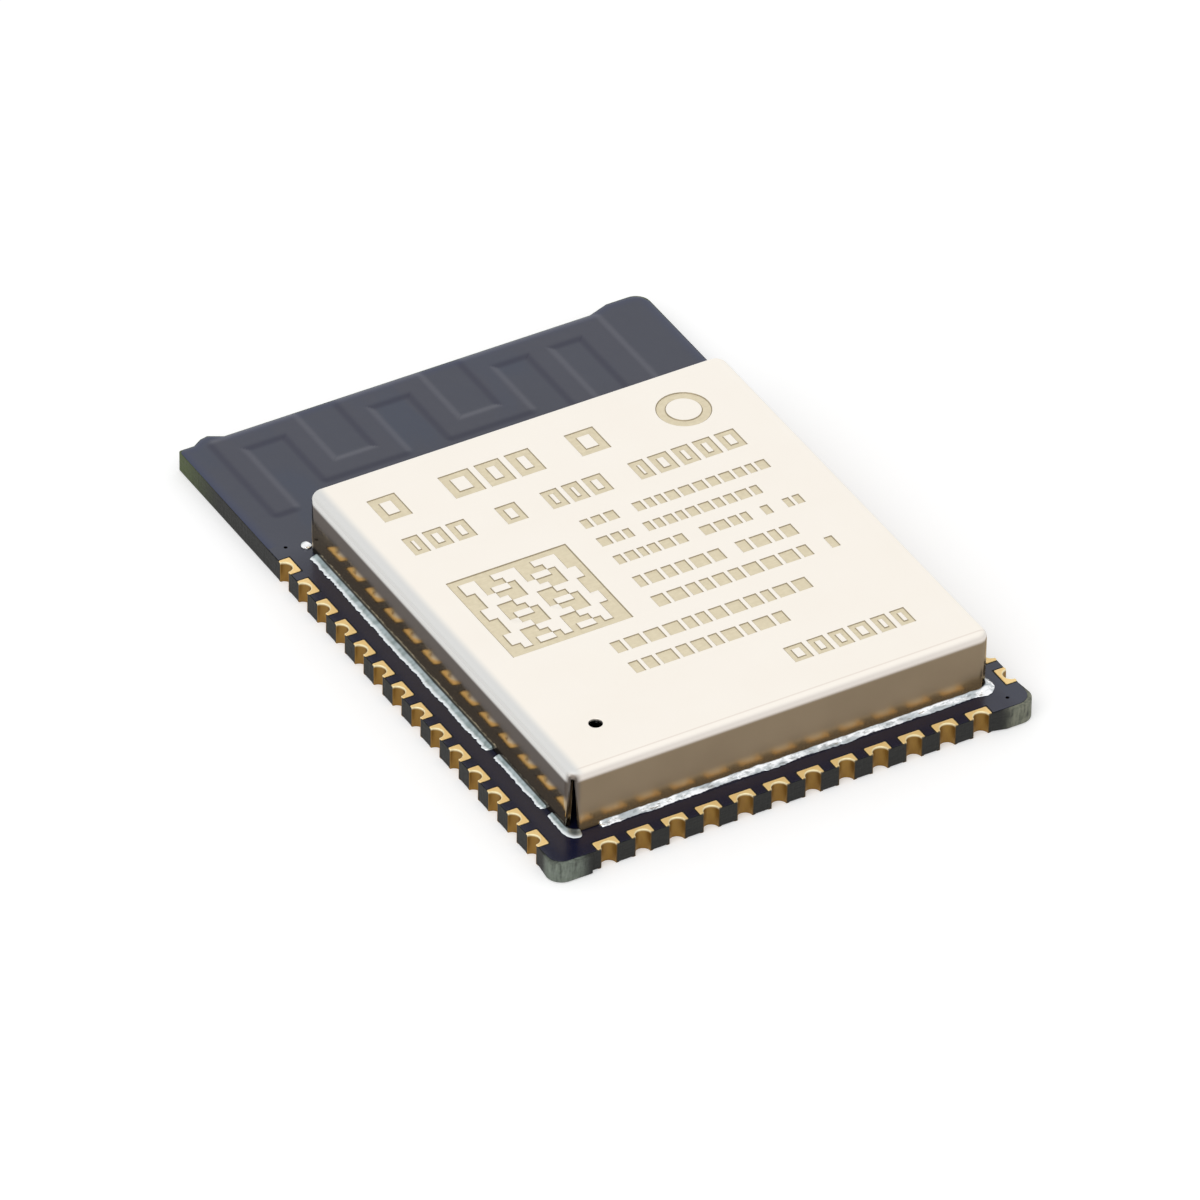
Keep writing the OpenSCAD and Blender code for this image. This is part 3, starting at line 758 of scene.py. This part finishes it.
def shield_can():
    """One sheet bent down on four sides, with open corners, sunk marks and a vent hole."""
    bm = bmesh.new()
    middle = (can_low + can_high) / 2
    shape = Matrix.Translation(middle) @ Matrix.Diagonal((*can_size, 1))
    bmesh.ops.create_cube(bm, size=1, matrix=shape)
    bmesh.ops.delete(bm, geom=[f for f in bm.faces if f.normal.z < -0.5], context="FACES")
    upright = [e for e in bm.edges if abs(e.verts[0].co.z - e.verts[1].co.z) > can_size.z / 2]
    bmesh.ops.bevel(bm, geom=upright, offset=CAN_CORNER, segments=CORNER_STEPS, profile=0.5,
                    affect="EDGES", material=-1)
    bmesh.ops.recalc_face_normals(bm, faces=bm.faces)
    rim = [e for e in bm.edges if all(v.co.z > can_high.z - HAIR for v in e.verts)]
    bmesh.ops.bevel(bm, geom=rim, offset=BEND, segments=BEND_STEPS, profile=0.5,
                    affect="EDGES", material=-1)
    open_slits(bm)
    marks = score_blocks(bm) + score_cells(bm)
    middle = Vector((ring_middle.x + can_low.x, ring_middle.y + can_low.y))
    rings, inner = round_opening(bm, middle, ring_radii)
    marks = [f for f in marks if f.is_valid] + rings[1]
    bmesh.ops.holes_fill(bm, edges=inner, sides=RING_SIDES)
    round_opening(bm, VENT, [VENT_RADIUS])
    for face in bm.faces:
        face.normal_update()
        if face.normal.z < -0.5:
            face.normal_flip()
    crease_front(bm)
    for face in marks:
        face.material_index = 1
    rims = bmesh.ops.inset_region(bm, faces=marks, thickness=MARK_RIM, depth=-MARK_DEPTH)
    # the slopes round the marks take the darker painted shade
    for face in rims["faces"]:
        face.material_index = 2
    finishes = [sheet_finish, mark_finish, rim_finish]
    can = finished(bm, "stamped_can", finishes, ["shield_can"], sharp_angle=14)
    wall = can.modifiers.new("sheet", "SOLIDIFY")
    wall.thickness = SHEET * MM
    wall.offset = -1
    wall.use_even_offset = True
    softened_edges(can, 0.012, angle=60).use_clamp_overlap = False
    flat_shading(can)


# ---- solder

TURN = CAN_CORNER * math.pi / 2
SIDE_LENGTH = can_size.y - 2 * CAN_CORNER
END_LENGTH = can_size.x - 2 * CAN_CORNER

# where the can's front, right side and rear start, as distances along its foot
FRONT_START = SIDE_LENGTH + TURN
RIGHT_START = FRONT_START + END_LENGTH + TURN
REAR_START = RIGHT_START + SIDE_LENGTH + TURN

# a seam's mesh: its columns' width, its rows, and the share of the rows that make its upper face
COLUMN = 0.03
ROWS = 14
UPPER_SHARE = 0.8

# how far a seam runs past its solid's ends and sinks into what it wets, and its round ends
OVERRUN = 0.05
WETTED = 0.01
ROUND_END = 0.1


def along_foot(distance):
    """A point on the can's foot and the direction out of the wall there, "distance" on from the
    rear end of the left wall: down the left side, along the front, up the right side and back."""
    heading = math.radians(180)
    spot = Vector((can_low.x, can_high.y - CAN_CORNER))
    for length in (SIDE_LENGTH, END_LENGTH, SIDE_LENGTH, END_LENGTH):
        out = Vector((math.cos(heading), math.sin(heading)))
        forward = Vector((-out.y, out.x))
        if distance <= length:
            return spot + forward * distance, out
        distance -= length
        spot = spot + forward * length
        middle = spot - out * CAN_CORNER
        if distance <= TURN:
            angle = heading + distance / CAN_CORNER
            out = Vector((math.cos(angle), math.sin(angle)))
            return middle + out * CAN_CORNER, out
        distance -= TURN
        heading += math.radians(90)
        spot = middle + Vector((math.cos(heading), math.sin(heading))) * CAN_CORNER
    return spot, Vector((math.cos(heading), math.sin(heading)))


def lump(distance, size, seed):
    """A smooth wander between -1 and 1 along a seam, over stretches of about "size" millimetres."""
    return noise.noise(Vector((distance / size, seed * 7.3, 0.4)))


def wrinkled(distance, share, seed):
    """The fine folds in a seam's skin, by the place along it and across it."""
    coarse = noise.noise(Vector((distance / 0.3, share * 1.6, seed)))
    return coarse + 0.5 * noise.noise(Vector((distance / 0.08, share * 3, seed + 4)))


def seam(name, nodes, start, end, width, height, crinkle, swell=()):
    """A bead of solder in the angle between board and can. "swell" lists where it stands fuller: the
    distance along the foot, how far that reaches and how much wider it gets. On the left it wetted
    evenly, with a painted highlight along its fine outer edge."""
    start -= OVERRUN
    end += OVERRUN
    seed = len(name) + start
    left = "left" in name
    # on the left: the share of painted highlight along the outer edge, then the seam's wander and teeth
    lip_share, wander, teeth = (0.85, 0.14, 0.18) if left else (0.0, 0.4, 0.2)
    bm = bmesh.new()
    columns = int((end - start) / COLUMN)
    bmesh.ops.create_grid(bm, x_segments=columns, y_segments=ROWS, size=1)
    # painted highlight along the outer edge, and painted shade at the root against the can
    lip_highlight = bm.verts.layers.float.new("lip_highlight")
    root = bm.verts.layers.float.new("root")
    for vert in bm.verts:
        distance = start + (vert.co.x + 1) / 2 * (end - start)
        share = (vert.co.y + 1) / 2
        to_end = min(1.0, min(distance - start, end - distance) / ROUND_END)
        full = math.sqrt(max(0.0, 1 - (1 - to_end) ** 2))
        reach = 1 + wander * lump(distance, 0.9, seed) + 0.1 * lump(distance, 0.22, seed + 3)
        reach = width * reach + width * teeth * lump(distance, 0.09, seed + 6)
        for place, spread, more in swell:
            reach += more * math.exp(-(((distance - place) / spread) ** 2))
        climb = 1 + 0.25 * lump(distance, 0.7, seed + 5) + 0.12 * lump(distance, 0.2, seed + 8)
        spot, out = along_foot(distance)
        if share < UPPER_SHARE:
            outward = share / UPPER_SHARE
            rise = height * climb * (1 - outward) ** 1.8 + 0.05 * math.sqrt(1 - outward**4)
            swing = math.sin(math.pi * min(1, outward + 0.1))
            rise += crinkle * wrinkled(distance, outward, seed) * swing
            vert[lip_highlight] = lip_share * smooth_step((outward - 0.5) / 0.3)
            vert[root] = 1 - smooth_step((outward - 0.02) / 0.1)
        else:
            outward = 1 - (share - UPPER_SHARE) / (1 - UPPER_SHARE)
            rise = 0.0
        along = spot + out * (reach * outward * full - WETTED)
        vert.co = (along.x, along.y, board_top - WETTED + max(0.0, rise) * full)
    bmesh.ops.remove_doubles(bm, verts=bm.verts, dist=0.0004)
    bmesh.ops.holes_fill(bm, edges=[e for e in bm.edges if e.is_boundary], sides=0)
    bmesh.ops.recalc_face_normals(bm, faces=bm.faces)
    finish = satin_finish if left else solder_finish
    finished(bm, name, [finish], nodes, sharp_angle=60)


def left_distance(y):
    """How far along the foot a place on the left side lies."""
    return can_high.y - CAN_CORNER - y


def left_seam(name, node, width, height):
    """One of the two long seams at the can's left foot."""
    low, high = box(node)
    seam(name, [node], left_distance(high.y), left_distance(low.y), width, height, crinkle=0.006)


def right_seam(name, node):
    """One of the two seams at the can's right foot."""
    low, high = box(node)
    begin = RIGHT_START - can_low.y - CAN_CORNER
    seam(name, [node], begin + low.y, begin + high.y, width=0.205, height=0.15, crinkle=0.02)


def corner_seam():
    """The short seam at the left side's front end, which runs on into the front left corner."""
    start = left_distance(box("solder_left_corner")[1].y)
    corner = FRONT_START - TURN / 2
    seam("seam_left_corner", ["solder_left_corner"], start, corner + 0.25, width=0.18, height=0.05,
         crinkle=0.006, swell=[(corner + 0.1, 0.3, 0.2)])


def front_seam():
    """The front seam, which turns the right corner and stands fullest there."""
    low, high = box("solder_front")
    start = FRONT_START + low.x - can_low.x - CAN_CORNER
    end = RIGHT_START + high.y - can_low.y - CAN_CORNER
    seam("seam_front", ["solder_front"], start, end, width=0.17, height=0.13, crinkle=0.04,
         swell=[(RIGHT_START - TURN / 2, 0.4, 0.2)])


def rear_seam():
    """The seam along the can's rear foot."""
    low, high = box("solder_rear")
    begin = REAR_START + can_high.x - CAN_CORNER
    seam("seam_rear", ["solder_rear"], begin - high.x, begin - low.x, width=0.205, height=0.15,
         crinkle=0.02)


def solder_dot():
    """A bead that froze on its own land beside the can, slightly dented."""
    radius = (dot_high.x - dot_low.x) / 2
    height = 0.6 * (dot_high.z - dot_low.z)
    middle = (dot_low + dot_high) / 2
    steps = 8
    bm = bmesh.new()
    profile = [bm.verts.new((0, 0, height))]
    for i in range(1, steps + 1):
        angle = math.radians(90 * i / steps)
        spot = (radius * math.sin(angle), 0, height * math.cos(angle) ** 0.8)
        profile.append(bm.verts.new(spot))
    line = [bm.edges.new(pair) for pair in zip(profile, profile[1:])]
    bmesh.ops.spin(bm, geom=[*profile, *line], cent=(0, 0, 0), axis=(0, 0, 1), angle=math.tau,
                   steps=28, use_merge=True)
    bmesh.ops.remove_doubles(bm, verts=bm.verts, dist=MERGE)
    for vert in bm.verts:
        if vert.co.z > 0.01:
            vert.co.z += 0.03 * noise.noise(vert.co / 0.12)
    bmesh.ops.translate(bm, verts=bm.verts, vec=(middle.x, middle.y, dot_low.z))
    bmesh.ops.holes_fill(bm, edges=[e for e in bm.edges if e.is_boundary], sides=0)
    bmesh.ops.recalc_face_normals(bm, faces=bm.faces)
    finished(bm, "dot_bead", [solder_finish], ["solder_dot"], sharp_angle=60)


# ---- solder mask

# where the antenna's own cover starts, and how far it reaches to either side
ANTENNA_START = 6.4
COVER_SIDE = core_high.x - 0.095

# the mask's top on bare laminate, how much higher it lies on copper, its slopes' width there, how
# far its rim rolls down, and how wide a strip along it is bluer
MASK_TOP = core_high.z + 0.025
RELIEF = mask_crest - MASK_TOP
SHOULDER = 0.32
ROLL = 0.018
ROLL_WIDTH = 0.09
BORDER_WIDTH = 0.45

# the antenna's runs: their middles, half their width, the last run's own, and how far back from
# the rear the meander and the open first run reach
RUN_MIDDLES = [-7.46, -5.08, -2.7, -0.32, 2.06, 4.25, 6.44]
HALF_RUN = 0.29
HALF_LAST_RUN = 0.42
MEANDER_DEPTH = 3.4
OPEN_DEPTH = 4.3

# the mask's rear edge from left to right: routed straight, with a broken tab's stub near each end
REAR_EDGE = [
    (-8.97, 12.45), (-8.87, 12.57), (-8.4, 12.57), (-8.05, 12.79), (-7.75, 12.85), (-7.5, 12.71),
    (-7.25, 12.57), (6.77, 12.57), (7.57, 12.85), (8.45, 12.85), (8.66, 12.8), (8.85, 12.65),
    (8.97, 12.33),
]


def antenna_bars():
    """The antenna's copper as rectangles: its runs, then the bars that join them in turn."""
    rear = trace_high.y
    inner = rear - MEANDER_DEPTH
    bars = []
    for i, x in enumerate(RUN_MIDDLES):
        half = HALF_LAST_RUN if i == 6 else HALF_RUN
        front = rear - OPEN_DEPTH if i == 0 else inner if i < 5 else trace_low.y
        bars.append((x - half, x + half, front, rear))
    for a, b in ((0, 1), (2, 3), (4, 6)):
        bars.append((RUN_MIDDLES[a], RUN_MIDDLES[b], rear - 2 * HALF_RUN, rear))
    for a, b in ((1, 2), (3, 4)):
        bars.append((RUN_MIDDLES[a], RUN_MIDDLES[b], inner, inner + 2 * HALF_RUN))
    return bars


def off_copper(x, y, bars):
    """How far a point lies from the antenna's copper, below 0 inside it."""
    nearest = math.inf
    for x0, x1, y0, y1 in bars:
        dx = max(x0 - x, x - x1)
        dy = max(y0 - y, y - y1)
        outside = math.hypot(max(dx, 0), max(dy, 0))
        nearest = min(nearest, outside or max(dx, dy))
    return nearest


def rear_edge(x):
    """How far back the mask reaches at x."""
    for (x0, y0), (x1, y1) in zip(REAR_EDGE, REAR_EDGE[1:]):
        if x <= x1:
            return y0 + (y1 - y0) * max(0.0, x - x0) / (x1 - x0)
    return REAR_EDGE[-1][1]


def antenna_cover():
    """The mask over the antenna, raised with soft shoulders where copper lies under it."""
    bars = antenna_bars()
    ahead_by = 0.05
    steepest = 1.5
    bm = bmesh.new()
    bmesh.ops.create_grid(bm, x_segments=260, y_segments=92, size=1)
    over = bm.verts.layers.float.new("over_copper")
    lit = bm.verts.layers.float.new("lit_side")
    shaded = bm.verts.layers.float.new("shaded_side")
    border = bm.verts.layers.float.new("border")
    for vert in bm.verts:
        x = vert.co.x * COVER_SIDE
        y = ANTENNA_START + (vert.co.y + 1) / 2 * (rear_edge(x) - ANTENNA_START)
        raised, ahead, beside = (
            1 - smooth_step(off_copper(*spot, bars) / SHOULDER)
            for spot in ((x, y), (x, y + ahead_by), (x + ahead_by, y))
        )
        fall = (2 * raised - ahead - beside) * SHOULDER / ahead_by / steepest
        rim = min(rear_edge(x) - y, COVER_SIDE - abs(x))
        roll = ROLL * (1 - smooth_step(rim / ROLL_WIDTH))
        vert[over] = raised
        vert[lit] = max(0.0, fall)
        vert[shaded] = max(0.0, -fall)
        vert[border] = 1 - smooth_step(rim / BORDER_WIDTH)
        vert.co = (x, y, MASK_TOP + RELIEF * raised - roll)
    top = list(bm.faces)
    skirt = bmesh.ops.extrude_face_region(bm, geom=top)
    bmesh.ops.delete(bm, geom=top, context="FACES")
    lifted = {v for v in skirt["geom"] if isinstance(v, bmesh.types.BMVert)}
    for vert in bm.verts:
        if vert not in lifted:
            vert.co.z = core_high.z
    bmesh.ops.holes_fill(bm, edges=[e for e in bm.edges if e.is_boundary], sides=0)
    bmesh.ops.recalc_face_normals(bm, faces=bm.faces)
    finished(bm, "antenna_cover", [mask_finish], sharp_angle=50)


def board_mask():
    """The rest of the upper mask, taken from the CAD's so that every opening keeps its place. Its
    edges are rounded, apart from the cut where the antenna's cover joins it."""
    bm = merged_copy("top_mask")
    geometry = [*bm.verts, *bm.edges, *bm.faces]
    bmesh.ops.bisect_plane(bm, geom=geometry, plane_co=(0, ANTENNA_START, 0), plane_no=(0, 1, 0),
                           clear_outer=True, dist=1e-5)
    bmesh.ops.holes_fill(bm, edges=[e for e in bm.edges if e.is_boundary], sides=0)
    bmesh.ops.recalc_face_normals(bm, faces=bm.faces)
    rounded = bm.edges.layers.float.new("bevel_weight_edge")
    for edge in bm.edges:
        joined = all(abs(v.co.y - ANTENNA_START) < NEAR for v in edge.verts)
        edge[rounded] = float(not joined and edge.calc_face_angle(0) > math.radians(40))
    piece = finished(bm, "board_mask", [mask_finish], ["top_mask"])
    softened_edges(piece, 0.012).limit_method = "WEIGHT"


# ---- contacts


LAND_CORNER = 0.05
# how far in from each land's edge at the hole a band carries the painted highlight
LIP_WIDTH = 0.045


def in_half_hole(face):
    """Whether a face is one of the facets that run down a half hole, and so slants in plan."""
    heights = [v.co.z for v in face.verts]
    slanted = max(abs(face.normal.x), abs(face.normal.y)) < 0.9999
    return slanted and max(heights) - min(heights) > board_top / 3


def on_land_corner(edge):
    """Whether an edge is one of the short upright ones at a land's corners."""
    first, second = (v.co for v in edge.verts)
    upright = (first - second).xy.length < HAIR
    return upright and 0.02 < abs(first.z - second.z) < 0.06 and edge.calc_face_angle(0) > 1


def contact_row(name, node):
    """A row of half holes with their lands, which get rounded corners and a painted highlight along the
    edge where they turn down into the hole."""
    bm = merged_copy(node)
    corners = [e for e in bm.edges if on_land_corner(e)]
    bmesh.ops.bevel(bm, geom=corners, offset=LAND_CORNER, segments=4, profile=0.5,
                    affect="EDGES", clamp_overlap=True, material=-1)
    lip_highlight = bm.verts.layers.float.new("lip_highlight")
    land_top = max(v.co.z for v in bm.verts)
    lands = [f for f in bm.faces if f.normal.z > 0.99 and f.verts[0].co.z > land_top - NEAR]
    # the land's vertices at its hole carry the painted highlight, and the inset's inner ones lose it
    for vert in {v for land in lands for v in land.verts}:
        vert[lip_highlight] = float(any(in_half_hole(f) for f in vert.link_faces))
    bmesh.ops.inset_individual(bm, faces=lands, thickness=LIP_WIDTH, use_even_offset=True)
    for vert in {v for land in lands for v in land.verts}:
        vert[lip_highlight] = 0.0
    piece = finished(bm, name, [gold_finish], [node], sharp_angle=35)
    softened_edges(piece, 0.016, angle=45, segments=3)


# ---- studio

FLOOR_GLOW = 0.3
ROOM_LEVEL = 0.75


def floor():
    """A plain pale floor, which glows a little where it is seen and keeps the module's shadow."""
    f = Finish("studio_floor")
    paper = f.node("ShaderNodeBsdfDiffuse", inputs={"Color": (0.82, 0.82, 0.82, 1)})
    glow = f.node("ShaderNodeEmission", inputs={"Strength": f.seen_directly() * FLOOR_GLOW})
    both = f.node("ShaderNodeAddShader", inputs={0: paper, 1: glow})
    f.node("ShaderNodeOutputMaterial", inputs={"Surface": both})
    bm = bmesh.new()
    bmesh.ops.create_grid(bm, x_segments=1, y_segments=1, size=3)
    mesh = bpy.data.meshes.new("studio_floor")
    bm.to_mesh(mesh)
    bm.free()
    mesh.materials.append(f.material)
    plane = bpy.data.objects.new("studio_floor", mesh)
    bpy.context.scene.collection.objects.link(plane)


def soft_box(name, place, size, power):
    """A square lamp that faces the middle of the module, with its place and size in metres."""
    lamp = bpy.data.lights.new(name, "AREA")
    lamp.shape = "SQUARE"
    lamp.size = size
    lamp.energy = power
    holder = bpy.data.objects.new(name, lamp)
    holder.location = place
    holder.rotation_euler = (-Vector(place)).to_track_quat("-Z", "Y").to_euler()
    bpy.context.scene.collection.objects.link(holder)


def room_light():
    """An even white room. It looks fully white and lights the module a little less than that."""
    world = bpy.data.worlds.new("white_room")
    bpy.context.scene.world = world
    room = NodeSheet(world)
    strength = ROOM_LEVEL + room.seen_directly() * (1 - ROOM_LEVEL)
    white = room.node("ShaderNodeBackground", inputs={"Color": (1, 1, 1, 1), "Strength": strength})
    room.node("ShaderNodeOutputWorld", inputs={"Surface": white})


def camera():
    """Looks at the module over its front left corner through a long lens."""
    aim = Vector((-1.238, -2.107, 1.5))
    distance = 465.287
    heading = math.radians(30.3114)
    down = math.radians(37.4654)
    roll = math.radians(0.8105)
    level = Vector((math.cos(heading), -math.sin(heading), 0))
    along = math.cos(down)
    forward = Vector((math.sin(heading) * along, math.cos(heading) * along, -math.sin(down)))
    right = level * math.cos(roll) + level.cross(forward) * math.sin(roll)
    turned = Matrix((right, right.cross(forward), -forward)).transposed()
    data = bpy.data.cameras.new("camera")
    data.lens = 425.59
    data.sensor_width = 36
    data.clip_start = 0.05
    data.clip_end = 20
    holder = bpy.data.objects.new("camera", data)
    holder.matrix_world = Matrix.Translation((aim - forward * distance) * MM) @ turned.to_4x4()
    bpy.context.scene.collection.objects.link(holder)
    bpy.context.scene.camera = holder


camera()
floor()
room_light()
soft_box("key_lamp", place=(-0.24, -0.17, 0.28), size=0.34, power=0.54)

shield_can()
left_seam("seam_left_rear", "solder_left_rear", width=0.26, height=0.07)
left_seam("seam_left_middle", "solder_left_middle", width=0.22, height=0.06)
corner_seam()
front_seam()
right_seam("seam_right_middle", "solder_right_middle")
right_seam("seam_right_rear", "solder_right_rear")
rear_seam()
solder_dot()
board_mask()
antenna_cover()
for row in ("left", "right", "front"):
    contact_row(f"{row}_half_holes", f"{row}_contacts")

bpy.context.scene.view_settings.view_transform = "Standard"
